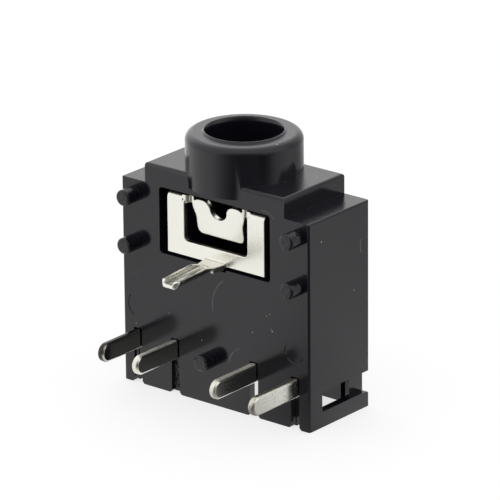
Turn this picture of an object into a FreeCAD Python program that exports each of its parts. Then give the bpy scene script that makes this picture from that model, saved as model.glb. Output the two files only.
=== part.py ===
import FreeCAD, Part
import math
import os

# A right-angle socket for a 3.5 mm stereo plug, for through-hole mounting on a board.
# +Z runs along the plug axis towards the mouth, and -Y faces the board.
# Sizes are in mm. Heights are counted from the rear end, and the export moves the origin
# up the plug axis to the face that meets the panel.

# Plug channel
plug_diameter = 3.5
bore_clearance = 0.12
mouth_bevel = 0.13
mouth_bevel_depth = 0.3
mouth_rim_height = 0.1
mouth_rim_width = 0.12

# Outside of the housing
body_width = 12.0
body_depth = 4.75
body_height = 10.9
axis_depth = 2.4
step_inset = 1.55
step_height = 1.04
nose_diameter = 5.9
nose_height = 1.92
nose_foot_height = 0.35
edge_round = 0.12
step_round = 0.16
nose_round = 0.4

# Walls of the housing
front_wall = 0.38
cover_wall = 0.45
side_wall = 0.45
roof = 1.0

# Window in the board face for the sleeve contact, with a notch that clears its pin
window_width = 7.1
window_height = 3.5
pin_notch_depth = 0.12
pin_notch_clearance = 0.05
window_top_gap = 0.05
window_round = 0.2
pocket_depth = 1.15
pocket_wall = 0.3

# Openings in the side walls, and the foot bars below them
side_window_start = 1.0
side_window_bottom = 0.82
side_window_top = 1.9
foot_bar_round = 0.3
corner_post_depth = 0.6

# Ribs that carry the sleeve contact, and rails that guide the other contacts
rib_width = 0.5
rib_inset = 0.08
rib_foot_gap = 0.15
rail_width = 0.28
front_rail_height = 0.4
cover_rail_height = 0.4
seat_clearance = 0.02

# Locating posts on the board face
post_diameter = 0.85
post_length = 0.88
post_round = 0.12
post_inset = 0.77
post_drop = 0.82
post_pitch = 2.55
centre_post_side = -0.3
centre_post_up = 2.42

# Sheet of the four side contacts, and their blades
sheet = 0.4
blade_width = 1.0
blade_coin = 0.09
slot_clearance = 0.06
slot_chamfer = 0.12
outer_blade_inset = 0.92
tip_switch_x = 2.62
ring_switch_x = 2.46
tip_switch_foot = 0.16
tip_blade_z = 2.4
tip_switch_blade_z = 2.4
ring_switch_blade_z = 2.37
ring_blade_z = 2.2
tip_blade_reach = 2.95
tip_switch_blade_reach = 3.2
ring_switch_blade_reach = 3.3
ring_blade_reach = 3.5
barb_depth = 0.1
barb_pitch = 0.5

# Spring arms, given by how far their contact point stands inside the plug's surface
arm_width = 1.8
arm_head_gap = 0.25
arm_bend_radius = 0.65
arm_bend_drop = 1.25
spring_preload = 0.13
bump_radius = 0.45
contact_gap = 0.02
pad_gap = 0.05
tip_touch_z = 3.0
tip_tail_z = 1.95
tip_tail_lift = 0.28
ring_touch_z = 5.4
ring_tail_z = 3.1
ring_tail_bend_z = 4.35
ring_tail_radius = 0.35

# Fixed contacts that the arms rest on when no plug is in
pad_bottom = 5.7
pad_height = 0.7
riser_width = 0.75
tip_switch_base_top = 3.2
ring_switch_top = 4.0

# Sleeve contact
sleeve_sheet = 0.3
plate_recess = 0.1
plate_side_gap = 0.44
plate_foot_gap = 0.13
plate_top_gap = 0.16
plate_corner = 0.15
leg_width = 1.09
bar_height = 0.8
cutout_round = 0.25
anchor_depth = 0.95
anchor_bend_radius = 0.18
anchor_inset = 0.12
tongue_side_gap = 0.34
tongue_taper = 0.19
tongue_foot_gap = 0.42
tongue_waist_height = 0.92
tongue_top_drop = 0.12
tongue_top_recess = 0.24
tongue_lean_deg = 8.5
tongue_corner = 0.34
lobe_round = 0.4
notch_height = 1.0
notch_width = 1.04
loop_sheet = 0.18
loop_height = 0.42
loop_radius = 0.105
loop_depth = 0.62

# Folded pin of the sleeve contact
pin_reach = 3.6
pin_width = 1.05
pin_height = 0.45
pin_sheet = 0.24
pin_foot_gap = 0.03
pin_root_width = 1.35
pin_neck_length = 0.75
pin_bend_radius = 0.26
pin_tip_round = 0.36
pin_droop_deg = 2.2

# Places worked out from the sizes above
bore_radius = plug_diameter / 2 + bore_clearance
mouth_radius = bore_radius + mouth_bevel
board_y = -axis_depth
cover_y = body_depth - axis_depth
front_inner = board_y + front_wall
cover_inner = cover_y - cover_wall
side_inner = body_width / 2 - side_wall
roof_z = body_height - roof
arm_top = roof_z - arm_head_gap
arm_bend_end = arm_top - arm_bend_drop
step_top = body_height + step_height
step_half = body_width / 2 - step_inset
nose_top = step_top + nose_height
rim_top = nose_top + mouth_rim_height
window_top = body_height - window_top_gap
window_bottom = window_top - window_height
rib_bottom = window_bottom + rib_foot_gap
post_upper = body_height - post_drop
post_lower = post_upper - post_pitch
pocket_floor = board_y + pocket_depth
plate_half = window_width / 2 - plate_side_gap
plate_y = board_y + plate_recess
plate_mid = plate_y + sleeve_sheet / 2
plate_top = window_top - plate_top_gap
plate_bottom = window_bottom + plate_foot_gap
pin_bottom = window_bottom + pin_foot_gap
tongue_bottom = plate_bottom + bar_height + tongue_foot_gap
tongue_waist_z = tongue_bottom + tongue_waist_height
notch_bottom = tongue_bottom + notch_height
leg_inner = plate_half - leg_width
tongue_half = leg_inner - tongue_side_gap
tongue_waist = tongue_half - tongue_taper
slot_width = sheet + 2 * slot_clearance
outer_blade_x = body_width / 2 - outer_blade_inset
base_front = front_inner + seat_clearance
base_back = cover_inner - seat_clearance
touch_x = plug_diameter / 2 - spring_preload + sheet / 2
overlap = 1.0


def vec(x, y, z):
    return FreeCAD.Vector(x, y, z)


def block(x0, x1, y0, y1, z0, z1):
    return Part.makeBox(x1 - x0, y1 - y0, z1 - z0, vec(x0, y0, z0))


def both_sides(x0, x1, y0, y1, z0, z1):
    right = block(x0, x1, y0, y1, z0, z1)
    left = block(-x1, -x0, y0, y1, z0, z1)
    return [right, left]


def polygon(points):
    return Part.Face(Part.makePolygon(points + [points[0]]))


def along(shape, x, y, z):
    return shape.extrude(vec(x, y, z))


def edges_at(shape, test):
    found = []
    for edge in shape.Edges:
        if all(test(vertex.Point) for vertex in edge.Vertexes):
            found.append(edge)
    return found


def near(a, b):
    return abs(a - b) < 1e-4


def joined(shapes):
    return shapes[0].fuse(shapes[1:]).removeSplitter()


# One side of a bent strip: the path moved sideways, with each corner an arc.
# Points are pairs in the plane that place() maps to space.
def strip_side(points, radii, offset, place):
    edges = []
    ends = []
    last = None
    for i in range(len(points) - 1):
        p = FreeCAD.Vector(points[i][0], points[i][1], 0)
        q = FreeCAD.Vector(points[i + 1][0], points[i + 1][1], 0)
        run = (q - p).normalize()
        side = FreeCAD.Vector(-run.y, run.x, 0) * offset
        start = last if last else p + side
        if i + 2 == len(points):
            stop = q + side
            centre = None
        else:
            after = FreeCAD.Vector(points[i + 2][0], points[i + 2][1], 0)
            turn_run = (after - q).normalize()
            half = (run * -1).getAngle(turn_run) / 2
            radius = radii[i]
            tangent = radius / math.tan(half)
            inward = (turn_run - run).normalize()
            centre = q + inward * (radius / math.sin(half))
            stop = q - run * tangent + side
        if (stop - start).Length > 1e-5:
            edges.append(Part.LineSegment(place(start), place(stop)).toShape())
        ends.append(start)
        if centre:
            turned = FreeCAD.Vector(-turn_run.y, turn_run.x, 0) * offset
            leave = q + turn_run * tangent + turned
            middle = centre - inward * (stop - centre).Length
            edges.append(Part.Arc(place(stop), place(middle), place(leave)).toShape())
            last = leave
    return edges, place(ends[0]), place(stop)


# A flat strip of even thickness, bent along the path
def bent_strip(points, radii, thickness, place):
    one, one_start, one_stop = strip_side(points, radii, thickness / 2, place)
    two, two_start, two_stop = strip_side(points, radii, -thickness / 2, place)
    ends = [Part.LineSegment(one_start, two_start).toShape()]
    ends.append(Part.LineSegment(one_stop, two_stop).toShape())
    edges = one + two + ends
    return Part.Face(Part.Wire(Part.sortEdges(edges)[0]))


# Housing

def stepped_body():
    w = body_width / 2
    s = step_half
    outline = [(-w, 0), (w, 0), (w, body_height), (s, body_height), (s, step_top),
               (-s, step_top), (-s, body_height), (-w, body_height)]
    body = along(polygon([vec(x, board_y, z) for x, z in outline]), 0, body_depth, 0)
    uprights = edges_at(body, lambda p: near(abs(p.x), w) and p.z < body_height + 1e-4)
    shoulder = edges_at(body, lambda p: near(p.z, body_height) and near(abs(p.x), w))
    uprights = [e for e in uprights if abs(e.Vertexes[0].Z - e.Vertexes[-1].Z) > 1]
    body = body.makeFillet(edge_round, uprights + shoulder)
    step = edges_at(body, lambda p: near(p.z, step_top) and not near(p.y, board_y))
    ends = edges_at(body, lambda p: near(p.z, step_top) and near(abs(p.x), s))
    return body.makeFillet(step_round, step + ends)


# The round nose, with a low raised rim about its mouth
def nose():
    foot = body_height + nose_foot_height
    barrel = Part.makeCylinder(nose_diameter / 2, nose_top - foot, vec(0, 0, foot))
    end = edges_at(barrel, lambda p: near(p.z, nose_top))
    end = [e for e in end if e.Length > nose_diameter]
    rim = Part.makeCone(mouth_radius + mouth_rim_width, mouth_radius + mouth_rim_width / 4,
                        mouth_rim_height, vec(0, 0, nose_top))
    return barrel.makeFillet(nose_round, end).fuse(rim)


def plug_bore():
    hole = Part.makeCylinder(bore_radius, nose_top, vec(0, 0, roof_z - overlap))
    mouth = Part.makeCone(bore_radius, mouth_radius, mouth_bevel_depth,
                          vec(0, 0, rim_top - mouth_bevel_depth))
    return hole.fuse(mouth)


def board_window():
    half = window_width / 2
    cut = block(-half, half, board_y - overlap, pocket_floor, window_bottom, window_top)
    corners = edges_at(cut, lambda p: near(abs(p.x), half))
    corners = [e for e in corners if near(e.Vertexes[0].Z, e.Vertexes[-1].Z)]
    notch_half = pin_root_width / 2 + pin_notch_clearance
    notch = block(-notch_half, notch_half, board_y - overlap, front_inner + overlap,
                  window_bottom - pin_notch_depth, window_bottom + overlap)
    return cut.makeFillet(window_round, corners).fuse(notch)


# Pockets at both sides of the window, closed behind so that the springs can't touch its contact
def window_pockets():
    inner = leg_inner + rib_inset
    edge = window_width / 2
    front = board_y + front_wall / 2
    back = pocket_floor + pocket_wall
    low = window_bottom - pocket_wall
    walls = both_sides(edge, edge + pocket_wall, front, back, low, body_height)
    walls += both_sides(inner, edge + pocket_wall, front, back, low, window_bottom)
    walls += both_sides(inner, edge + pocket_wall, pocket_floor, back, low, body_height)
    return walls


# Ribs behind the legs of the sleeve contact, notched for its anchors
def contact_ribs():
    start = leg_inner + rib_inset
    front = plate_y + sleeve_sheet + seat_clearance
    ribs = both_sides(start, start + rib_width, front, cover_inner + cover_wall / 2,
                      rib_bottom, body_height)
    seat = plate_top - sleeve_sheet - seat_clearance
    notch = block(-body_width, body_width, front - overlap, plate_y + anchor_depth + seat_clearance,
                  seat, window_top)
    return [rib.cut(notch) for rib in ribs]


def guide_rails():
    gap = sheet / 2 + seat_clearance
    inside = outer_blade_x - gap
    outside = outer_blade_x + gap
    front_top = front_inner + front_rail_height
    cover_top = cover_inner - cover_rail_height
    rails = both_sides(inside - rail_width, inside, board_y + front_wall / 2, front_top, 0, roof_z)
    rails += both_sides(inside - rail_width, inside, cover_top, cover_y - cover_wall / 2, 0, roof_z)
    rails += both_sides(outside, side_inner, board_y + front_wall / 2, front_top, 0, roof_z)
    post_start = cover_inner - corner_post_depth
    rails += both_sides(outside, side_inner, post_start, cover_y - cover_wall / 2, 0, roof_z)
    for middle in (-tip_switch_x, ring_switch_x):
        for edge in (middle - gap - rail_width, middle + gap):
            rails.append(block(edge, edge + rail_width, cover_top, cover_y - cover_wall / 2,
                               0, rib_bottom))
    return rails


def side_openings():
    start = board_y + side_window_start
    stop = cover_y + overlap
    out = body_width / 2 + overlap
    cuts = both_sides(side_inner, out, start, stop, side_window_bottom, side_window_top)
    rounding = both_sides(side_inner, out, cover_y - foot_bar_round, stop,
                          side_window_bottom - foot_bar_round, side_window_bottom)
    for part in rounding:
        axis_x = part.BoundBox.XMin
        bar_end = Part.makeCylinder(foot_bar_round, part.BoundBox.XLength,
                                    vec(axis_x, cover_y - foot_bar_round,
                                        side_window_bottom - foot_bar_round), vec(1, 0, 0))
        cuts.append(part.cut(bar_end))
    return cuts


def blade_slot(x, z):
    half = slot_width / 2
    top = z + blade_width / 2 + slot_clearance
    y0 = board_y - overlap
    depth = front_wall + overlap + seat_clearance
    outline = [(x - half - slot_chamfer, -overlap), (x + half + slot_chamfer, -overlap),
               (x + half + slot_chamfer, 0), (x + half, slot_chamfer), (x + half, top),
               (x - half, top), (x - half, slot_chamfer), (x - half - slot_chamfer, 0)]
    return along(polygon([vec(a, y0, b) for a, b in outline]), 0, depth, 0)


def locating_post(x, z):
    root = board_y + front_wall / 2
    length = post_length + front_wall / 2
    post = Part.makeCylinder(post_diameter / 2, length, vec(x, root, z), vec(0, -1, 0))
    tip = [e for e in edges_at(post, lambda p: near(p.y, board_y - post_length))
           if e.Length > post_diameter]
    return post.makeFillet(post_round, tip)


def housing():
    shape = stepped_body().fuse(nose())
    cavity = block(-side_inner, side_inner, front_inner, cover_inner, -overlap, roof_z)
    shape = shape.cut([cavity, board_window()])
    spread = body_width / 2 - post_inset
    posts = [locating_post(x, z) for x in (-spread, spread) for z in (post_upper, post_lower)]
    posts.append(locating_post(centre_post_side, centre_post_up))
    shape = shape.fuse(window_pockets() + contact_ribs() + guide_rails() + posts)
    slots = [blade_slot(-outer_blade_x, tip_blade_z), blade_slot(-tip_switch_x, tip_switch_blade_z),
             blade_slot(ring_switch_x, ring_switch_blade_z), blade_slot(outer_blade_x, ring_blade_z)]
    return shape.cut([plug_bore()] + side_openings() + slots).removeSplitter()


# Side contacts

# A terminal blade with a full round end, coined thinner round its tip
def blade(x, z, reach):
    half = blade_width / 2
    tip = board_y - reach
    root = base_front + half
    x0 = x - sheet / 2
    edges = [Part.LineSegment(vec(x0, tip + half, z + half), vec(x0, root, z + half)).toShape(),
             Part.LineSegment(vec(x0, root, z + half), vec(x0, root, z - half)).toShape(),
             Part.LineSegment(vec(x0, root, z - half), vec(x0, tip + half, z - half)).toShape(),
             Part.Arc(vec(x0, tip + half, z - half), vec(x0, tip, z), vec(x0, tip + half, z + half)).toShape()]
    solid = along(Part.Face(Part.Wire(edges)), sheet, 0, 0)
    rim = [e for e in solid.Edges if not e.Curve.TypeId.endswith("GeomLine")]
    return solid.makeChamfer(blade_coin, rim)


# The flat foot of a side contact, with barbs along both edges that grip the walls
def contact_base(x, bottom, top):
    outline = [(base_front, bottom), (base_back, bottom)]
    for i in range(2):
        z = bottom + barb_pitch * (i + 0.5)
        outline += [(base_back, z), (base_back - barb_depth, z), (base_back, z + barb_pitch / 2)]
    outline += [(base_back, top), (base_front, top)]
    return along(polygon([vec(x - sheet / 2, y, z) for y, z in outline]), sheet, 0, 0)


# A spring arm: up from the base, over the bend and down towards the plug
def spring_arm(side, bottom, run, radii):
    bend_x = outer_blade_x - 2 * arm_bend_radius
    top = arm_top - sheet / 2
    points = [(outer_blade_x, bottom), (outer_blade_x, top), (bend_x, top), (bend_x, arm_bend_end)]
    points = [(side * x, z) for x, z in points + run]
    bends = [arm_bend_radius, arm_bend_radius, arm_bend_radius] + radii
    face = bent_strip(points, bends, sheet, lambda p: vec(p.x, -arm_width / 2, p.y))
    return along(face, 0, arm_width, 0)


def tip_spring():
    bottom = tip_blade_z - blade_width / 2
    top = arm_top - sheet / 2 - arm_bend_radius
    pass_x = tip_switch_x + sheet + pad_gap
    run = [(pass_x, pad_bottom), (touch_x, tip_touch_z), (touch_x + tip_tail_lift, tip_tail_z)]
    arm = spring_arm(-1, bottom, run, [arm_bend_radius, bump_radius])
    base = contact_base(-outer_blade_x, bottom, top)
    return joined([base, arm, blade(-outer_blade_x, tip_blade_z, tip_blade_reach)])


def ring_spring():
    bottom = ring_blade_z - blade_width / 2
    top = arm_top - sheet / 2 - arm_bend_radius
    tail_x = ring_switch_x + sheet + contact_gap
    run = [(touch_x, ring_touch_z), (tail_x, ring_tail_bend_z), (tail_x, ring_tail_z)]
    arm = spring_arm(1, bottom, run, [bump_radius, ring_tail_radius])
    base = contact_base(outer_blade_x, bottom, top)
    return joined([base, arm, blade(outer_blade_x, ring_blade_z, ring_blade_reach)])


def tip_switch_contact():
    base = contact_base(-tip_switch_x, tip_switch_foot, tip_switch_base_top)
    x0 = -tip_switch_x - sheet / 2
    x1 = -tip_switch_x + sheet / 2
    riser = block(x0, x1, base_front, base_front + riser_width, tip_switch_foot,
                  pad_bottom + pad_height)
    pad = block(x0, x1, base_front, arm_width / 2, pad_bottom, pad_bottom + pad_height)
    terminal = blade(-tip_switch_x, tip_switch_blade_z, tip_switch_blade_reach)
    return joined([base, riser, pad, terminal])


def ring_switch_contact():
    bottom = ring_switch_blade_z - blade_width / 2
    base = contact_base(ring_switch_x, bottom, ring_switch_top)
    terminal = blade(ring_switch_x, ring_switch_blade_z, ring_switch_blade_reach)
    return joined([base, terminal])


# Sleeve contact

# A leg of the frame, with an anchor folded back from its top end
def leg_and_anchor(side):
    outer = plate_half
    bend_z = plate_top - sleeve_sheet / 2 - anchor_bend_radius
    leg = block(leg_inner, outer, plate_y, plate_y + sleeve_sheet, plate_bottom, bend_z)
    top_mid = plate_top - sleeve_sheet / 2
    points = [(plate_mid, bend_z), (plate_mid, top_mid), (plate_y + anchor_depth, top_mid)]
    face = bent_strip(points, [anchor_bend_radius], sleeve_sheet,
                      lambda p: vec(leg_inner + anchor_inset, p.x, p.y))
    anchor = along(face, leg_width - anchor_inset, 0, 0)
    corner = edges_at(anchor, lambda p: near(p.x, outer) and near(p.y, plate_y + anchor_depth))
    leg = leg.fuse(anchor.makeFillet(plate_corner, corner))
    return leg if side > 0 else leg.mirror(vec(0, 0, 0), vec(1, 0, 0))


# The loop that joins a leg to the tongue, bent out of the way of the plug
def spring_loop(side):
    far = leg_inner - loop_sheet / 2
    close = far - 2 * loop_radius
    deep = plate_y + loop_depth - loop_sheet / 2
    tongue_mid = plate_y + tongue_top_recess - plate_recess + sleeve_sheet / 2
    points = [(leg_inner + loop_sheet, plate_mid), (far, plate_mid), (far, deep), (close, deep),
              (close, tongue_mid), (close - loop_sheet, tongue_mid)]
    points = [(side * x, y) for x, y in points]
    radii = [loop_radius] * 4
    face = bent_strip(points, radii, loop_sheet, lambda p: vec(p.x, p.y, plate_top - loop_height))
    return along(face, 0, 0, loop_height)


def tongue_outline():
    top = plate_top - tongue_top_drop
    t = tongue_half
    w = tongue_waist
    n = notch_width / 2
    lobe_z = top - lobe_round
    notch_centre = notch_bottom + n
    c = tongue_corner
    slant = math.sqrt(0.5)
    lobe_x = n + (t - n) / 2
    edges = []
    for side in (1, -1):
        edges += [
            Part.Arc(vec(0, 0, notch_bottom), vec(side * n * slant, 0, notch_centre - n * slant),
                     vec(side * n, 0, notch_centre)).toShape(),
            Part.Arc(vec(side * n, 0, notch_centre),
                     vec(side * (n + (lobe_x - n) * (1 - slant)), 0,
                         notch_centre + (top - notch_centre) * slant),
                     vec(side * lobe_x, 0, top)).toShape(),
            Part.Arc(vec(side * lobe_x, 0, top),
                     vec(side * (t - (t - lobe_x) * (1 - slant)), 0, top - lobe_round * (1 - slant)),
                     vec(side * t, 0, lobe_z)).toShape(),
            Part.LineSegment(vec(side * t, 0, lobe_z), vec(side * w, 0, tongue_waist_z)).toShape(),
            Part.LineSegment(vec(side * w, 0, tongue_waist_z),
                             vec(side * w, 0, tongue_bottom + c)).toShape(),
            Part.Arc(vec(side * w, 0, tongue_bottom + c),
                     vec(side * (w - c * (1 - slant)), 0, tongue_bottom + c * (1 - slant)),
                     vec(side * (w - c), 0, tongue_bottom)).toShape()]
    edges.append(Part.LineSegment(vec(c - w, 0, tongue_bottom), vec(w - c, 0, tongue_bottom)).toShape())
    return Part.Face(Part.Wire(Part.sortEdges(edges)[0]))


def tongue():
    flat = along(tongue_outline(), 0, sleeve_sheet, 0)
    flat.translate(vec(0, board_y + tongue_top_recess, 0))
    hinge = vec(0, board_y + tongue_top_recess, plate_top)
    flat.rotate(hinge, vec(1, 0, 0), tongue_lean_deg)
    return flat


def crossbar():
    half = leg_inner + leg_width / 2
    bar = block(-half, half, plate_y, plate_y + sleeve_sheet, plate_bottom, plate_bottom + bar_height)
    root = pin_root_width / 2
    relief = block(-root, root, plate_y - overlap, plate_y + overlap, plate_bottom - overlap,
                   pin_bottom + sleeve_sheet / 2 + pin_bend_radius)
    return bar.cut(relief)


# Gussets that round the inner corners of the frame
def inner_corner(side):
    r = cutout_round
    z = plate_bottom + bar_height
    square = block(0, r, plate_y, plate_y + sleeve_sheet, z, z + r)
    rod = Part.makeCylinder(r, sleeve_sheet, vec(0, plate_y, z + r), vec(0, 1, 0))
    corner = square.cut(rod)
    corner.translate(vec(leg_inner - r, 0, 0))
    if side < 0:
        corner = corner.mirror(vec(0, 0, 0), vec(1, 0, 0))
    return corner


# The pin: bent out of the crossbar, then folded up along both edges
def folded_pin():
    mid = pin_bottom + sleeve_sheet / 2
    neck_run = pin_bend_radius + pin_neck_length
    neck_end = plate_mid - neck_run
    fall = neck_run * math.tan(math.radians(pin_droop_deg))
    points = [(plate_mid, plate_bottom + bar_height / 2), (plate_mid, mid), (neck_end, mid - fall)]
    face = bent_strip(points, [pin_bend_radius], sleeve_sheet,
                      lambda p: vec(-pin_root_width / 2, p.x, p.y))
    neck = along(face, pin_root_width, 0, 0)
    root = pin_root_width / 2
    narrow = pin_width / 2
    inside = plate_y + sleeve_sheet
    taper = [(-root, inside), (root, inside), (root, plate_y), (narrow, neck_end),
             (-narrow, neck_end), (-root, plate_y)]
    neck = neck.common(along(polygon([vec(x, y, pin_bottom - overlap) for x, y in taper]), 0, 0, 3 * overlap))
    tip = board_y - pin_reach
    edge = narrow - pin_sheet / 2
    low = pin_bottom + pin_sheet / 2
    high = pin_bottom + pin_height
    points = [(-edge, high), (-edge, low), (edge, low), (edge, high)]
    face = bent_strip(points, [pin_sheet, pin_sheet], pin_sheet, lambda p: vec(p.x, tip, p.y))
    channel = along(face, 0, neck_end - tip + sleeve_sheet, 0).common(pin_profile(tip, neck_end, high))
    channel = channel.common(pin_plan(tip, neck_end))
    channel.rotate(vec(0, plate_mid, mid), vec(1, 0, 0), pin_droop_deg)
    return neck.fuse(channel)


# Plan of the pin, with both corners of its tip rounded
def pin_plan(tip, neck_end):
    r = pin_tip_round
    h = pin_width / 2
    back = neck_end + overlap
    bottom = pin_bottom - overlap
    cut = r * (1 - math.sqrt(0.5))
    edges = [Part.LineSegment(vec(r - h, tip, bottom), vec(h - r, tip, bottom)).toShape(),
             Part.LineSegment(vec(-h, back, bottom), vec(h, back, bottom)).toShape()]
    for side in (-1, 1):
        edges.append(Part.Arc(vec(side * (h - r), tip, bottom), vec(side * (h - cut), tip + cut, bottom),
                              vec(side * h, tip + r, bottom)).toShape())
        edges.append(Part.LineSegment(vec(side * h, tip + r, bottom),
                                      vec(side * h, back, bottom)).toShape())
    return along(Part.Face(Part.Wire(Part.sortEdges(edges)[0])), 0, 0, 3 * overlap)


# Side view of the pin: a round tip, level flanges, and a slope where they run out
def pin_profile(tip, neck_end, high):
    r = pin_height / 2
    x0 = -pin_width / 2
    floor_top = pin_bottom + pin_sheet
    slope_start = neck_end - pin_height
    edges = [Part.Arc(vec(x0, tip + r, pin_bottom), vec(x0, tip, pin_bottom + r),
                      vec(x0, tip + r, high)).toShape(),
             Part.LineSegment(vec(x0, tip + r, high), vec(x0, slope_start, high)).toShape(),
             Part.LineSegment(vec(x0, slope_start, high), vec(x0, neck_end + pin_sheet, floor_top)).toShape(),
             Part.LineSegment(vec(x0, neck_end + pin_sheet, floor_top),
                              vec(x0, neck_end + pin_sheet, pin_bottom)).toShape(),
             Part.LineSegment(vec(x0, neck_end + pin_sheet, pin_bottom),
                              vec(x0, tip + r, pin_bottom)).toShape()]
    return along(Part.Face(Part.Wire(edges)), pin_width, 0, 0)


def sleeve_contact():
    pieces = [crossbar(), tongue(), folded_pin()]
    for side in (-1, 1):
        pieces += [leg_and_anchor(side), spring_loop(side), inner_corner(side)]
    return joined(pieces)


nodes = {
    "housing": housing,
    "sleeve_contact": sleeve_contact,
    "tip_spring": tip_spring,
    "tip_switch_contact": tip_switch_contact,
    "ring_spring": ring_spring,
    "ring_switch_contact": ring_switch_contact,
}

os.makedirs("parts", exist_ok=True)
for name, make in nodes.items():
    shape = make()
    print(name, "solids", len(shape.Solids), "valid", shape.isValid(), "volume", round(shape.Volume, 3))
    shape.translate(vec(0, 0, -step_top))
    shape.exportStep("parts/" + name + ".step")
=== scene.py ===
import bpy
import math
from mathutils import Matrix, Vector


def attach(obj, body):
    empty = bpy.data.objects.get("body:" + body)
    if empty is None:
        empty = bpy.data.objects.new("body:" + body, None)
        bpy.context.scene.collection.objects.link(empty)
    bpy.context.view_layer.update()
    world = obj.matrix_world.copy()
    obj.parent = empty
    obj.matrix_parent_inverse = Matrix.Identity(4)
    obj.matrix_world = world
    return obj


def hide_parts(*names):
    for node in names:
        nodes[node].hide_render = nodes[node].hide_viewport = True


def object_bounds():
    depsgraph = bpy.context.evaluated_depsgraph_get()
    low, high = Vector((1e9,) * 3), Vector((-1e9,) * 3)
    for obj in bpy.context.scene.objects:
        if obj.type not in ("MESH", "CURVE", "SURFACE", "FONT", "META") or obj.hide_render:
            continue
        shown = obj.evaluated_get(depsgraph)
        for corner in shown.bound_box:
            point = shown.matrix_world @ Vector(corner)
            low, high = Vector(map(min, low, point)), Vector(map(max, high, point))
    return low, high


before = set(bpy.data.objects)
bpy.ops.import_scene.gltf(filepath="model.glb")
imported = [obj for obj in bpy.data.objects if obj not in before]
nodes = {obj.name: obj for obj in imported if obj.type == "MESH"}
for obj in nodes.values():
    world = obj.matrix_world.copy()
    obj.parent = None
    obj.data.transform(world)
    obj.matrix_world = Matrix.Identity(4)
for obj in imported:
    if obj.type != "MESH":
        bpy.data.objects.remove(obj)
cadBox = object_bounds()
print("frame loaded:", ", ".join(sorted(nodes)))

mm = 0.001


# helpers for meshes and nodes

def selectOnly(obj):
    bpy.ops.object.select_all(action="DESELECT")
    obj.select_set(True)
    bpy.context.view_layer.objects.active = obj


def addNode(tree, kind, place, **values):
    node = tree.nodes.new(kind)
    node.location = place
    for name, value in values.items():
        setattr(node, name, value)
    return node


def fill(tree, socket, value):                       # a number is set, an output is linked
    if isinstance(value, (int, float, tuple)):
        socket.default_value = value
    else:
        tree.links.new(value, socket)


def mathNode(tree, operation, place, a, b=None, clamp=False):
    node = addNode(tree, "ShaderNodeMath", place, operation=operation, use_clamp=clamp)
    for index, value in enumerate((a, b)):
        if value is not None:
            fill(tree, node.inputs[index], value)
    return node.outputs[0]


def rangeNode(tree, place, value, low, high, toLow=0.0, toHigh=1.0):
    node = addNode(tree, "ShaderNodeMapRange", place, interpolation_type="SMOOTHSTEP")
    for index, number in enumerate((value, low, high, toLow, toHigh)):
        fill(tree, node.inputs[index], number)
    return node.outputs["Result"]


def mixColour(tree, place, factor, a, b):
    node = addNode(tree, "ShaderNodeMix", place, data_type="RGBA")
    fill(tree, node.inputs["Factor"], factor)
    fill(tree, node.inputs["A"], a)
    fill(tree, node.inputs["B"], b)
    return node.outputs["Result"]


def newGroup(name, inputs, outputs):
    group = bpy.data.node_groups.new(name, "ShaderNodeTree")
    for label, kind, value in inputs:
        socket = group.interface.new_socket(name=label, in_out="INPUT", socket_type=kind)
        if value is not None:
            socket.default_value = value
    for label, kind in outputs:
        group.interface.new_socket(name=label, in_out="OUTPUT", socket_type=kind)
    start = addNode(group, "NodeGroupInput", (-900, 0))
    end = addNode(group, "NodeGroupOutput", (900, 0))
    return group, start, end


def placeGroup(tree, group, place, **values):
    node = addNode(tree, "ShaderNodeGroup", place, node_tree=group)
    for name, value in values.items():
        fill(tree, node.inputs[name], value)
    return node


def mmCoordinates(tree, stretch=(1, 1, 1)):
    where = addNode(tree, "ShaderNodeTexCoord", (-1700, 0))
    mapping = addNode(tree, "ShaderNodeMapping", (-1500, 0))
    mapping.inputs["Scale"].default_value = [share / mm for share in stretch]
    tree.links.new(where.outputs["Object"], mapping.inputs["Vector"])
    return mapping.outputs["Vector"]


# shared effects

grainDetail = dict(fine=3, wave=1)


def makeGrain():                                     # fine grain with a slow wave under it
    group, start, end = newGroup(
        "fineGrain",
        [("Vector", "NodeSocketVector", None), ("Size mm", "NodeSocketFloat", 0.08),
         ("Wave mm", "NodeSocketFloat", 2.5), ("Wave share", "NodeSocketFloat", 0.5)],
        [("Height", "NodeSocketFloat"), ("Mottle", "NodeSocketFloat"), ("Grain", "NodeSocketFloat")])
    link = group.links.new
    fine = addNode(group, "ShaderNodeTexNoise", (-300, 200))
    fine.inputs["Detail"].default_value = grainDetail["fine"]
    wave = addNode(group, "ShaderNodeTexNoise", (-300, -100))
    wave.inputs["Detail"].default_value = grainDetail["wave"]
    for node, label in ((fine, "Size mm"), (wave, "Wave mm")):
        link(start.outputs["Vector"], node.inputs["Vector"])
        scale = mathNode(group, "DIVIDE", (-550, node.location.y), 1.0, start.outputs[label])
        link(scale, node.inputs["Scale"])
    waved = mathNode(group, "MULTIPLY", (50, -100), wave.outputs["Fac"], start.outputs["Wave share"])
    total = mathNode(group, "ADD", (250, 100), fine.outputs["Fac"], waved)
    link(total, end.inputs["Height"])
    link(wave.outputs["Fac"], end.inputs["Mottle"])
    link(fine.outputs["Fac"], end.inputs["Grain"])
    return group


edgeWear = dict(samples=6, gain=4.0, scale=3.0, detail=4, brokenFrom=0.42, brokenTo=0.62)


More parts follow.
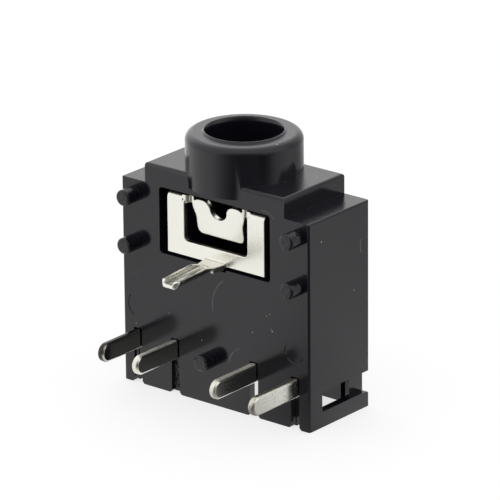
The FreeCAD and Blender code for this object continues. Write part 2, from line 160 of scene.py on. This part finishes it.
def makeEdgeWear():                                  # 1 on sharp outer edges, broken up by noise
    group, start, end = newGroup(
        "edgeWear",
        [("Vector", "NodeSocketVector", None), ("Radius", "NodeSocketFloat", 0.05 * mm),
         ("Amount", "NodeSocketFloat", 0.5)],
        [("Mask", "NodeSocketFloat")])
    link = group.links.new
    bevel = addNode(group, "ShaderNodeBevel", (-600, 200), samples=edgeWear["samples"])
    link(start.outputs["Radius"], bevel.inputs["Radius"])
    geometry = addNode(group, "ShaderNodeNewGeometry", (-600, -50))
    dot = addNode(group, "ShaderNodeVectorMath", (-350, 100), operation="DOT_PRODUCT")
    link(bevel.outputs["Normal"], dot.inputs[0])
    link(geometry.outputs["Normal"], dot.inputs[1])
    bent = mathNode(group, "SUBTRACT", (-150, 100), 1.0, dot.outputs["Value"])
    strong = mathNode(group, "MULTIPLY", (50, 100), bent, edgeWear["gain"], clamp=True)
    noise = addNode(group, "ShaderNodeTexNoise", (-350, -250))
    noise.inputs["Scale"].default_value = edgeWear["scale"]
    noise.inputs["Detail"].default_value = edgeWear["detail"]
    link(start.outputs["Vector"], noise.inputs["Vector"])
    broken = rangeNode(group, (250, -100), noise.outputs["Fac"], edgeWear["brokenFrom"], edgeWear["brokenTo"])
    paled = mathNode(group, "MULTIPLY", (450, 0), strong, broken)
    link(mathNode(group, "MULTIPLY", (650, 0), paled, start.outputs["Amount"]), end.inputs["Mask"])
    return group


def makeFlecks():                                    # rare pale specks of dust
    group, start, end = newGroup(
        "dustFlecks",
        [("Vector", "NodeSocketVector", None), ("Spacing mm", "NodeSocketFloat", 1.2),
         ("Size", "NodeSocketFloat", 0.05), ("Rarity", "NodeSocketFloat", 0.6)],
        [("Mask", "NodeSocketFloat")])
    link = group.links.new
    cells = addNode(group, "ShaderNodeTexVoronoi", (-350, 100))
    link(start.outputs["Vector"], cells.inputs["Vector"])
    link(mathNode(group, "DIVIDE", (-600, 0), 1.0, start.outputs["Spacing mm"]), cells.inputs["Scale"])
    close = mathNode(group, "LESS_THAN", (-100, 100), cells.outputs["Distance"], start.outputs["Size"])
    split = addNode(group, "ShaderNodeSeparateColor", (-100, -100))
    link(cells.outputs["Color"], split.inputs[0])
    rare = mathNode(group, "GREATER_THAN", (150, -100), split.outputs[0], start.outputs["Rarity"])
    link(mathNode(group, "MULTIPLY", (400, 0), close, rare), end.inputs["Mask"])
    return group


arcEndSharpness = 25.0


def makeArcMark():                                   # a thin arc, for scratches, parts of an ejector's print and one painted highlight
    group, start, end = newGroup(
        "arcMark",
        [("Vector", "NodeSocketVector", None), ("Centre", "NodeSocketVector", None),
         ("Towards", "NodeSocketVector", None), ("Radius mm", "NodeSocketFloat", 0.5),
         ("Line mm", "NodeSocketFloat", 0.04), ("Opening", "NodeSocketFloat", 0.5)],
        [("Line", "NodeSocketFloat")])
    link = group.links.new
    away = addNode(group, "ShaderNodeVectorMath", (-700, 100), operation="SUBTRACT")
    link(start.outputs["Vector"], away.inputs[0])
    link(start.outputs["Centre"], away.inputs[1])
    far = addNode(group, "ShaderNodeVectorMath", (-500, 100), operation="LENGTH")
    unit = addNode(group, "ShaderNodeVectorMath", (-500, -100), operation="NORMALIZE")
    dot = addNode(group, "ShaderNodeVectorMath", (-300, -100), operation="DOT_PRODUCT")
    link(away.outputs[0], far.inputs[0])
    link(away.outputs[0], unit.inputs[0])
    link(unit.outputs[0], dot.inputs[0])
    link(start.outputs["Towards"], dot.inputs[1])
    off = mathNode(group, "SUBTRACT", (-300, 100), far.outputs["Value"], start.outputs["Radius mm"])
    share = mathNode(group, "DIVIDE", (0, 100), mathNode(group, "ABSOLUTE", (-150, 100), off),
                     start.outputs["Line mm"])
    line = mathNode(group, "SUBTRACT", (200, 100), 1.0, share, clamp=True)
    inside = mathNode(group, "SUBTRACT", (-100, -100), dot.outputs["Value"], start.outputs["Opening"])
    soft = mathNode(group, "MULTIPLY", (100, -100), inside, arcEndSharpness, clamp=True)
    link(mathNode(group, "MULTIPLY", (500, 0), line, soft), end.inputs["Line"])
    return group


tent = dict(
    base=1.0,
    zones=[                                          # direction, cosine where it fades out, gain
        ((0.640, -0.765, -0.087), 0.40, -0.88),      # dark side, where the photographer stands
        ((0.150, 0.970, 0.100), 0.55, -0.56),        # duller at the right and behind
        ((0.975, 0.140, -0.170), 0.78, -0.35),       # and to the right of the photographer
        ((-0.60, 0.72, 0.45), 0.40, 0.38),           # brightest high at the back left
    ],
    least=0.02,
)


def makeTent():                                      # how bright the white tent is in a direction
    group, start, end = newGroup(
        "whiteTent",
        [("Direction", "NodeSocketVector", None)],
        [("Tone", "NodeSocketFloat")])
    link = group.links.new
    unit = addNode(group, "ShaderNodeVectorMath", (-700, 0), operation="NORMALIZE")
    link(start.outputs["Direction"], unit.inputs[0])
    total = tent["base"]
    for index, (aim, spread, gain) in enumerate(tent["zones"]):
        dot = addNode(group, "ShaderNodeVectorMath", (-500, -200 * index), operation="DOT_PRODUCT")
        link(unit.outputs[0], dot.inputs[0])
        dot.inputs[1].default_value = Vector(aim).normalized()
        zone = rangeNode(group, (-300, -200 * index), dot.outputs["Value"], spread, 1.0, 0.0, gain)
        total = mathNode(group, "ADD", (0, -200 * index), zone, total)
    link(mathNode(group, "MAXIMUM", (300, 0), total, tent["least"]), end.inputs["Tone"])
    return group


groups = dict(grain=makeGrain(), wear=makeEdgeWear(), flecks=makeFlecks(), arc=makeArcMark(), tent=makeTent())


# black moulded plastic

plastic = dict(
    colour=(0.0075, 0.0077, 0.0125, 1),
    # the pale colour of worn edges and scratches, also used for a painted highlight at the window's corner
    wornAndHighlightColour=(0.20, 0.20, 0.205, 1),
    dustColour=(0.50, 0.50, 0.49, 1),
    roughness=0.14, roughnessSpread=0.08,
    noseRoughness=0.04, grooveRoughness=0.8,         # added on the nose and in the dark arcs
    grain=0.07, wave=2.2, waveShare=0.6,             # mm, mm
    bump=0.014,
    topBump=0.10, topFrom=0.70, topTo=0.98,          # added where the normal's Z is in this range
    postBump=0.50, postGrain=0.22,                   # added on the posts, whose ends are rough
    postFrom=-2.46, postTo=-2.60,                    # mm along Y, past the board face
    belowNose=(-1.2, -1.4),                          # mm along Z
    noseFoot=(0.0, 0.15),                            # mm along Z
    groove=0.45, bumpDepth=0.1,
    wearRadius=0.05, wearAmount=0.3,
    fleckSpacing=1.3, fleckSize=0.035, fleckRarity=0.72,
)

# centre, radius, line, direction of the middle, half angle in degrees, strength; all in mm
paleArcs = [
    ((1.618, -2.4, -6.596), 1.785, 0.035, (-0.93, 0, 0.37), 34, 0.80),     # long curved scratch
    ((-3.598, -2.4, -8.768), 3.143, 0.040, (-0.49, 0, 0.87), 7, 0.75),     # short scratch, upper left
    ((1.923, -2.4, -9.552), 1.067, 0.045, (-0.88, 0, 0.47), 22, 0.70),     # print by the middle post
    ((1.923, -2.4, -9.552), 1.067, 0.045, (-0.50, 0, 0.86), 12, 0.65),
    ((6.0, 2.502, -3.264), 0.862, 0.040, (0, -1.0, 0), 27, 0.95),          # scratch on the right side
    ((3.223, -2.4, -1.601), 0.692, 0.035, (0.35, 0, 0.94), 40, 0.60),      # painted highlight on the lit corner of the window
    ((6.0, 1.30, -9.80), 2.950, 0.035, (0, 0.03, 1.0), 6, 0.60),
]
darkArcs = [
    ((-4.969, -2.4, -7.724), 0.672, 0.050, (-0.98, 0, -0.18), 55, 1.0),    # print by the left edge
    ((5.045, -2.4, -7.888), 0.581, 0.045, (-1.0, 0, 0.05), 25, 1.0),       # print by the lower right post
    ((5.045, -2.4, -7.888), 0.581, 0.045, (-0.45, 0, -0.89), 22, 1.0),
    ((5.045, -2.4, -7.888), 0.581, 0.045, (0.75, 0, -0.66), 22, 1.0),
    ((9.900, -2.4, -5.300), 8.430, 0.040, (-0.945, 0, -0.325), 2.0, 0.8),  # straight nick above the middle
]
# specks of dust: place and radius
specks = [
    ((2.40, -2.4, -7.45), 0.045), ((-0.88, -2.4, -8.65), 0.040), ((-3.02, -2.4, -7.72), 0.032),
    ((-5.18, -2.4, -8.77), 0.040), ((3.29, -2.4, -6.39), 0.032), ((3.52, -2.4, -6.23), 0.030),
    ((3.58, -2.4, -7.01), 0.032), ((6.0, -1.42, -2.17), 0.055), ((6.0, 1.13, -5.43), 0.045),
]
speckCore = 0.4                                      # share of the radius that is fully pale


def arcLines(tree, place, arcs, column):             # all arcs of one list, added up
    total = 0.0
    for index, (centre, radius, line, towards, halfAngle, strength) in enumerate(arcs):
        spot = (column, -300 - 180 * index)
        arc = placeGroup(tree, groups["arc"], spot, **{
            "Vector": place, "Centre": centre, "Towards": tuple(Vector(towards).normalized()),
            "Radius mm": radius, "Line mm": line, "Opening": math.cos(math.radians(halfAngle))})
        shown = mathNode(tree, "MULTIPLY", (column + 200, spot[1]), arc.outputs["Line"], strength)
        total = mathNode(tree, "ADD", (column + 400, spot[1]), shown, total)
    return total


def speckDots(tree, place, column):
    total = 0.0
    for index, (centre, radius) in enumerate(specks):
        far = addNode(tree, "ShaderNodeVectorMath", (column, -1800 - 160 * index), operation="DISTANCE")
        tree.links.new(place, far.inputs[0])
        far.inputs[1].default_value = centre
        dot = rangeNode(tree, (column + 200, far.location.y), far.outputs["Value"],
                        radius, radius * speckCore)
        total = mathNode(tree, "ADD", (column + 400, far.location.y), dot, total, clamp=True)
    return total


def startMaterial(name):
    material = bpy.data.materials.new(name)
    material.use_nodes = True
    tree = material.node_tree
    shader = tree.nodes["Principled BSDF"]
    shader.location = (900, 0)
    tree.nodes["Material Output"].location = (1200, 0)
    return material, tree, shader


def faceNormal(tree, column):                        # absolute and signed parts of the surface normal
    geometry = addNode(tree, "ShaderNodeNewGeometry", (column, 900))
    split = addNode(tree, "ShaderNodeSeparateXYZ", (column + 200, 900))
    tree.links.new(geometry.outputs["Normal"], split.inputs[0])
    return split.outputs


def makeBlackPlastic():
    material, tree, shader = startMaterial("blackMouldedPlastic")
    link = tree.links.new
    place = mmCoordinates(tree)
    grain = placeGroup(tree, groups["grain"], (-1000, -200), **{
        "Vector": place, "Size mm": plastic["grain"], "Wave mm": plastic["wave"],
        "Wave share": plastic["waveShare"]})
    wear = placeGroup(tree, groups["wear"], (-1000, 200), Vector=place, Radius=plastic["wearRadius"] * mm,
                      Amount=plastic["wearAmount"])
    flecks = placeGroup(tree, groups["flecks"], (-1000, 450), **{
        "Vector": place, "Spacing mm": plastic["fleckSpacing"], "Size": plastic["fleckSize"],
        "Rarity": plastic["fleckRarity"]})
    up = rangeNode(tree, (-1000, 700), faceNormal(tree, -1500)["Z"], plastic["topFrom"], plastic["topTo"])
    dots = speckDots(tree, place, -2600)
    dust = mathNode(tree, "ADD", (-700, 450), flecks.outputs["Mask"], dots, clamp=True)
    # pale arcs: scratches, ejector prints and a painted highlight at the window's corner
    scratchesAndHighlight = arcLines(tree, place, paleArcs, -2600)
    pale = mathNode(tree, "ADD", (-700, 200), wear.outputs["Mask"], scratchesAndHighlight, clamp=True)
    paled = mixColour(tree, (-450, 300), pale, plastic["colour"], plastic["wornAndHighlightColour"])
    link(mixColour(tree, (-200, 300), dust, paled, plastic["dustColour"]), shader.inputs["Base Color"])
    grooves = arcLines(tree, place, darkArcs, -3600)
    split = addNode(tree, "ShaderNodeSeparateXYZ", (-1300, 100))
    link(place, split.inputs[0])
    nose = rangeNode(tree, (-1100, 100), split.outputs["Z"], *plastic["noseFoot"])
    spread = mathNode(tree, "MULTIPLY", (-600, 0), grain.outputs["Mottle"], plastic["roughnessSpread"])
    least = plastic["roughness"] - plastic["roughnessSpread"] / 2
    rough = mathNode(tree, "ADD", (-450, 0), spread, least)
    extras = ((nose, plastic["noseRoughness"]), (grooves, plastic["grooveRoughness"]))
    for index, (mask, more) in enumerate(extras):
        spot = (-300 + 150 * index, -120)
        added = mathNode(tree, "MULTIPLY", (spot[0], -240), mask, more)
        rough = mathNode(tree, "ADD", spot, rough, added)
    link(rough, shader.inputs["Roughness"])
    level = mathNode(tree, "MULTIPLY", (-500, -300), up, plastic["topBump"])
    level = mathNode(tree, "ADD", (-300, -300), level, plastic["bump"])
    height = mathNode(tree, "MULTIPLY", (-100, -300), grain.outputs["Height"], level)
    cut = mathNode(tree, "MULTIPLY", (-300, -500), grooves, plastic["groove"])
    post = rangeNode(tree, (-1300, -600), split.outputs["Y"], plastic["postFrom"], plastic["postTo"],
                     0.0, plastic["postBump"])
    below = rangeNode(tree, (-1300, -800), split.outputs["Z"], *plastic["belowNose"])
    post = mathNode(tree, "MULTIPLY", (-1100, -600), post, below)
    torn = placeGroup(tree, groups["grain"], (-1000, -800), **{
        "Vector": place, "Size mm": plastic["postGrain"]})
    rise = mathNode(tree, "MULTIPLY", (-200, -600), post, torn.outputs["Grain"])
    height = mathNode(tree, "ADD", (0, -400), height, rise)
    bump = addNode(tree, "ShaderNodeBump", (400, -300))
    bump.inputs["Strength"].default_value = 1.0
    bump.inputs["Distance"].default_value = plastic["bumpDepth"] * mm
    link(mathNode(tree, "SUBTRACT", (100, -300), height, cut), bump.inputs["Height"])
    link(bump.outputs["Normal"], shader.inputs["Normal"])
    return material


# plated sheet metal, one finish for each contact

metal = dict(
    dullColour=(0.60, 0.57, 0.49, 1),
    grain=0.09, wave=1.1, waveShare=1.6,             # mm, mm
    blotch=0.16, blotchWave=0.5, blotchShare=0.5,    # mm, mm
    spotsFrom=0.50, spotsTo=0.68, spotRoughness=0.25,
    patchFrom=0.30, patchTo=0.60,
    flatAbove=0.85, cutBelow=0.45,                   # how much a face looks along the named axis
    fade=0.1,                                        # mm along Y
    wearRadius=0.04, wearAmount=0.8,
    bump=0.012, bumpDepth=0.1,
)

# stretch: how the rolling streaks run; across: the axis that the sheet's flat faces look along
# sheared, shearedShare, patchy, rough: tone, cover, least cover and added roughness of the cut edges
# between: where along Y, in mm, the cut edges are bare
contactFinishes = dict(
    sleeve_contact=dict(colour=(0.90, 0.89, 0.82, 1), stretch=(1, 1, 0.26), roughness=0.27, mottle=0.05,
                        spread=0.08, across="Y", sheared=(0.50, 0.40, 0.29, 1), shearedShare=0.5,
                        patchy=0.35, rough=0.10, between=(-1.9, -2.4)),
    tip_spring=dict(colour=(0.54, 0.53, 0.48, 1), stretch=(1, 0.22, 1), roughness=0.11, mottle=0.10,
                    spread=0.08, across="X", sheared=(0.045, 0.042, 0.036, 1), shearedShare=0.98,
                    patchy=1.0, rough=0.0, between=(-2.4, -9)),
    tip_switch_contact=dict(colour=(0.80, 0.79, 0.72, 1), stretch=(1, 0.22, 1), roughness=0.11, mottle=0.08,
                            spread=0.08, across="X", sheared=(0.90, 0.88, 0.80, 1), shearedShare=0.9,
                            patchy=0.7, rough=0.40, between=(-2.4, -9)),
    ring_spring=dict(colour=(0.92, 0.91, 0.84, 1), stretch=(1, 0.22, 1), roughness=0.24, mottle=0.55,
                     spread=0.14, across="X", sheared=(0.40, 0.34, 0.24, 1), shearedShare=0.85,
                     patchy=0.45, rough=0.15, between=(-2.4, -9)),
    ring_switch_contact=dict(colour=(0.92, 0.90, 0.83, 1), stretch=(1, 0.22, 1), roughness=0.20, mottle=0.06,
                             spread=0.10, across="X", sheared=(0.94, 0.90, 0.80, 1), shearedShare=0.9,
                             patchy=0.7, rough=0.40, between=(-2.4, -9)),
)


def makePlatedMetal(name, look):
    material, tree, shader = startMaterial(name + "Plating")
    link = tree.links.new
    shader.inputs["Metallic"].default_value = 1.0
    place = mmCoordinates(tree)
    streaks = mmCoordinates(tree, look["stretch"])
    grain = placeGroup(tree, groups["grain"], (-1000, -200), **{
        "Vector": streaks, "Size mm": metal["grain"], "Wave mm": metal["wave"],
        "Wave share": metal["waveShare"]})
    blotch = placeGroup(tree, groups["grain"], (-1000, -500), **{
        "Vector": place, "Size mm": metal["blotch"], "Wave mm": metal["blotchWave"],
        "Wave share": metal["blotchShare"]})
    wear = placeGroup(tree, groups["wear"], (-1000, 200), Vector=place, Radius=metal["wearRadius"] * mm,
                      Amount=metal["wearAmount"])
    spots = rangeNode(tree, (-750, -500), blotch.outputs["Grain"], metal["spotsFrom"], metal["spotsTo"])
    dull = mathNode(tree, "MULTIPLY", (-500, -500), spots, look["mottle"])
    dulled = mathNode(tree, "SUBTRACT", (-300, -400), dull, wear.outputs["Mask"], clamp=True)
    plated = mixColour(tree, (0, 300), dulled, look["colour"], metal["dullColour"])
    facing = mathNode(tree, "ABSOLUTE", (-1000, 700), faceNormal(tree, -1500)[look["across"]])
    edge = rangeNode(tree, (-800, 700), facing, metal["flatAbove"], metal["cutBelow"])
    split = addNode(tree, "ShaderNodeSeparateXYZ", (-1200, 500))
    link(place, split.inputs[0])
    first, last = look["between"]
    outside = rangeNode(tree, (-1000, 500), split.outputs["Y"], first, first - metal["fade"])
    inside = rangeNode(tree, (-1000, 350), split.outputs["Y"], last - metal["fade"], last)
    within = mathNode(tree, "MULTIPLY", (-800, 450), outside, inside)
    bare = mathNode(tree, "MULTIPLY", (-600, 600), edge, within)
    patchy = rangeNode(tree, (-750, -650), blotch.outputs["Mottle"], metal["patchFrom"], metal["patchTo"],
                       look["patchy"], 1.0)
    share = mathNode(tree, "MULTIPLY", (-550, -650), patchy, look["shearedShare"])
    bare = mathNode(tree, "MULTIPLY", (-400, 600), bare, share)
    link(mixColour(tree, (300, 300), bare, plated, look["sheared"]), shader.inputs["Base Color"])
    spread = mathNode(tree, "MULTIPLY", (-500, 0), grain.outputs["Mottle"], look["spread"])
    rough = mathNode(tree, "ADD", (-300, 0), spread, look["roughness"] - look["spread"] / 2)
    for index, (mask, more) in enumerate(((dull, metal["spotRoughness"]), (bare, look["rough"]))):
        spot = (-100 + 150 * index, -150)
        added = mathNode(tree, "MULTIPLY", (spot[0], -270), mask, more)
        rough = mathNode(tree, "ADD", spot, rough, added)
    link(rough, shader.inputs["Roughness"])
    bump = addNode(tree, "ShaderNodeBump", (400, -300))
    bump.inputs["Strength"].default_value = metal["bump"]
    bump.inputs["Distance"].default_value = metal["bumpDepth"] * mm
    link(grain.outputs["Height"], bump.inputs["Height"])
    link(bump.outputs["Normal"], shader.inputs["Normal"])
    return material


finishes = {name: makePlatedMetal(name, look) for name, look in contactFinishes.items()}
finishes["housing"] = makeBlackPlastic()
print("materials made:", len(finishes))


# the pieces, with softened edges

softness = dict(
    housing=dict(width=0.035, segments=2, slot="housing"),
    contacts=dict(width=0.03, segments=2, slot="contact"),
    mergeWithin=0.0005,                              # mm
    flatWithin=0.8,                                  # degrees: faces that are joined into one
    smoothBelow=35,                                  # degrees between faces
    flatOver=1.2,                                    # mm2: a flat face this large keeps one normal
)


def copyOfNode(name, newName, joinFlats):
    source = nodes[name]
    piece = source.copy()
    piece.data = source.data.copy()
    piece.name = newName
    for key in list(piece.keys()):
        del piece[key]
    piece.parent = None
    bpy.context.scene.collection.objects.link(piece)
    selectOnly(piece)
    bpy.ops.object.mode_set(mode="EDIT")
    bpy.ops.mesh.select_all(action="SELECT")
    bpy.ops.mesh.remove_doubles(threshold=softness["mergeWithin"] * mm)
    if joinFlats:
        bpy.ops.mesh.dissolve_limited(angle_limit=math.radians(softness["flatWithin"]))
    bpy.ops.object.mode_set(mode="OBJECT")
    if piece.data.has_custom_normals:
        bpy.ops.mesh.customdata_custom_splitnormals_clear()
    return piece


def applyModifier(piece, name, kind, **values):
    modifier = piece.modifiers.new(name, kind)
    for key, value in values.items():
        setattr(modifier, key, value)
    bpy.ops.object.modifier_apply(modifier=name)


def soften(piece, width, segments):
    selectOnly(piece)
    angle = math.radians(softness["smoothBelow"])
    applyModifier(piece, "rounded", "BEVEL", width=width * mm, segments=segments, limit_method="ANGLE",
                  angle_limit=angle, use_clamp_overlap=True)
    bpy.ops.object.shade_smooth_by_angle(angle=angle)
    applyModifier(piece, "evenFaces", "WEIGHTED_NORMAL", mode="FACE_AREA_WITH_ANGLE", weight=100,
                  keep_sharp=True)
    mesh = piece.data
    normals = [corner.vector.copy() for corner in mesh.corner_normals]
    for face in mesh.polygons:
        if face.area > softness["flatOver"] * mm * mm:
            for corner in face.loop_indices:
                normals[corner] = face.normal.copy()
    mesh.normals_split_custom_set(normals)


def dress(piece, name):
    piece.data.materials.clear()
    piece.data.materials.append(finishes[name])
    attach(piece, "root")
    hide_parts(name)


stamping = dict(
    voxel=0.029,                                     # mm
    factor=0.5, rounds=6,                            # smoothing passes, which round the sheared edges
    pinRounds=11,                                    # more on the pin, whose sheet is folded
    pinFrom=-2.6,                                    # mm, along Y
)


def softenStamping(piece):                           # on an even mesh, loops, lobes and folds round off
    selectOnly(piece)
    applyModifier(piece, "evenMesh", "REMESH", mode="VOXEL", voxel_size=stamping["voxel"] * mm)
    pin = piece.vertex_groups.new(name="pin")
    far = [point.index for point in piece.data.vertices if point.co.y < stamping["pinFrom"] * mm]
    pin.add(far, 1.0, "REPLACE")
    applyModifier(piece, "softEdges", "SMOOTH", factor=stamping["factor"], iterations=stamping["rounds"])
    applyModifier(piece, "softPin", "SMOOTH", factor=stamping["factor"],
                  iterations=stamping["pinRounds"], vertex_group="pin")
    bpy.ops.object.shade_smooth()


slotSheetShape = dict(
    middle=(-2.62, -2.12, -11.0), size=(0.53, 0.08, 1.76),                    # mm
    cuts=14,
    waves=0.16, ragged=0.06,                         # mm
)


def makeSlotSheet():                                     # a ragged dark sheet in the housing's plastic that closes the second slot, so that it shows dark
    bpy.ops.object.select_all(action="DESELECT")
    place = [value * mm for value in slotSheetShape["middle"]]
    size = [value * mm for value in slotSheetShape["size"]]
    bpy.ops.mesh.primitive_cube_add(size=1, location=place, scale=size)
    piece = bpy.context.object
    piece.name = "slotSheet"
    bpy.ops.object.transform_apply(location=True, rotation=True, scale=True)
    bpy.ops.object.mode_set(mode="EDIT")
    bpy.ops.mesh.select_all(action="SELECT")
    bpy.ops.mesh.subdivide(number_cuts=slotSheetShape["cuts"])
    bpy.ops.object.mode_set(mode="OBJECT")
    waves = bpy.data.textures.new("raggedWaves", "CLOUDS")
    waves.noise_scale = slotSheetShape["waves"] * mm
    applyModifier(piece, "ragged", "DISPLACE", texture=waves, strength=slotSheetShape["ragged"] * mm, mid_level=0.5)
    piece.data.materials.append(finishes["housing"])
    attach(piece, "root")


skins = []
for name in nodes:
    look = softness["housing" if name == "housing" else "contacts"]
    stamped = name == "sleeve_contact"
    skin = copyOfNode(name, name + "Skin", joinFlats=not stamped)
    if stamped:
        softenStamping(skin)
    else:
        soften(skin, look["width"], look["segments"])
    skins.append((skin, name, look["slot"]))
for skin, name, slot in skins:
    dress(skin, name)
makeSlotSheet()
for name in nodes:
    nodes[name].data.materials.clear()
    nodes[name].data.materials.append(finishes[name])
print("pieces softened:", len(skins), "faces:", sum(len(skin[0].data.polygons) for skin in skins))


# floor, light and camera

floor = dict(
    size=0.5, gap=0.002,                             # m, mm
    colour=0.30, glow=0.74,
    sink=0.5,                                        # flattens the directions in which it mirrors the tent
)


def grey(tone):
    return (tone, tone, tone, 1)


def makeFloor():
    low = cadBox[0].z - floor["gap"] * mm
    bpy.ops.object.select_all(action="DESELECT")
    bpy.ops.mesh.primitive_plane_add(size=floor["size"], location=(0, 0, low))
    ground = bpy.context.object
    ground.name = "floor"
    bpy.ops.object.transform_apply(location=True)
    material = bpy.data.materials.new("paleFloor")
    material.use_nodes = True
    tree = material.node_tree
    tree.nodes.clear()
    link = tree.links.new
    diffuse = addNode(tree, "ShaderNodeBsdfDiffuse", (0, 200))
    diffuse.inputs["Color"].default_value = grey(floor["colour"])
    glow = addNode(tree, "ShaderNodeEmission", (0, 0))
    glow.inputs["Color"].default_value = grey(floor["glow"])
    both = addNode(tree, "ShaderNodeAddShader", (200, 150))
    link(diffuse.outputs[0], both.inputs[0])
    link(glow.outputs[0], both.inputs[1])
    where = addNode(tree, "ShaderNodeTexCoord", (-800, -200))
    flat = addNode(tree, "ShaderNodeMapping", (-600, -200))
    flat.inputs["Scale"].default_value = (1, 1, floor["sink"])
    link(where.outputs["Object"], flat.inputs["Vector"])
    tone = placeGroup(tree, groups["tent"], (-400, -200), Direction=flat.outputs[0])
    mirrored = addNode(tree, "ShaderNodeEmission", (0, -200))
    link(tone.outputs["Tone"], mirrored.inputs["Color"])
    rays = addNode(tree, "ShaderNodeLightPath", (0, 500))
    reflects = mathNode(tree, "MAXIMUM", (200, 500), rays.outputs["Is Glossy Ray"],
                        rays.outputs["Is Transmission Ray"])
    seen = addNode(tree, "ShaderNodeMixShader", (400, 0))
    link(rays.outputs["Is Camera Ray"], seen.inputs["Fac"])
    plain = addNode(tree, "ShaderNodeMixShader", (200, -200))
    link(reflects, plain.inputs["Fac"])
    link(diffuse.outputs[0], plain.inputs[1])
    link(mirrored.outputs[0], plain.inputs[2])
    link(plain.outputs[0], seen.inputs[1])
    link(both.outputs[0], seen.inputs[2])
    out = addNode(tree, "ShaderNodeOutputMaterial", (600, 0))
    link(seen.outputs[0], out.inputs["Surface"])
    ground.data.materials.append(material)


def makeWorld():
    world = bpy.data.worlds.new("whiteTentWorld")
    bpy.context.scene.world = world
    world.use_nodes = True
    tree = world.node_tree
    link = tree.links.new
    tree.nodes.clear()
    where = addNode(tree, "ShaderNodeTexCoord", (-600, 0))
    tone = placeGroup(tree, groups["tent"], (-400, 0), Direction=where.outputs["Generated"])
    tentLight = addNode(tree, "ShaderNodeBackground", (-100, 0))
    link(tone.outputs["Tone"], tentLight.inputs["Color"])
    white = addNode(tree, "ShaderNodeBackground", (-100, -200))
    white.inputs["Color"].default_value = grey(1)
    rays = addNode(tree, "ShaderNodeLightPath", (-100, 300))
    seen = addNode(tree, "ShaderNodeMixShader", (150, 0))
    link(rays.outputs["Is Camera Ray"], seen.inputs["Fac"])
    link(tentLight.outputs[0], seen.inputs[1])
    link(white.outputs[0], seen.inputs[2])
    out = addNode(tree, "ShaderNodeOutputWorld", (350, 0))
    link(seen.outputs[0], out.inputs["Surface"])


cameraView = dict(
    azimuth=39.481, elevation=20.185, roll=-0.501,   # degrees
    aim=(-0.341, 0.786, -4.662), distance=259.03,    # mm
    lens=373.1, sensor=36, clip=(0.01, 10),          # mm, mm, m
)


def makeCamera():
    a = math.radians(cameraView["azimuth"])
    e = math.radians(cameraView["elevation"])
    r = math.radians(cameraView["roll"])
    back = Vector((math.sin(a) * math.cos(e), -math.cos(a) * math.cos(e), math.sin(e)))
    level = Vector((math.cos(a), math.sin(a), 0))
    upright = back.cross(level)
    right = level * math.cos(r) + upright * math.sin(r)
    up = upright * math.cos(r) - level * math.sin(r)
    place = (Vector(cameraView["aim"]) + back * cameraView["distance"]) * mm
    data = bpy.data.cameras.new("camera")
    data.lens = cameraView["lens"]
    data.sensor_width = cameraView["sensor"]
    data.clip_start, data.clip_end = cameraView["clip"]
    camera = bpy.data.objects.new("camera", data)
    turn = Matrix((right, up, back)).transposed()
    camera.matrix_world = Matrix.Translation(place) @ turn.to_4x4()
    bpy.context.scene.collection.objects.link(camera)
    bpy.context.scene.camera = camera


makeFloor()
makeWorld()
makeCamera()
bpy.context.scene.view_settings.view_transform = "Standard"
print("stage, light and camera set")
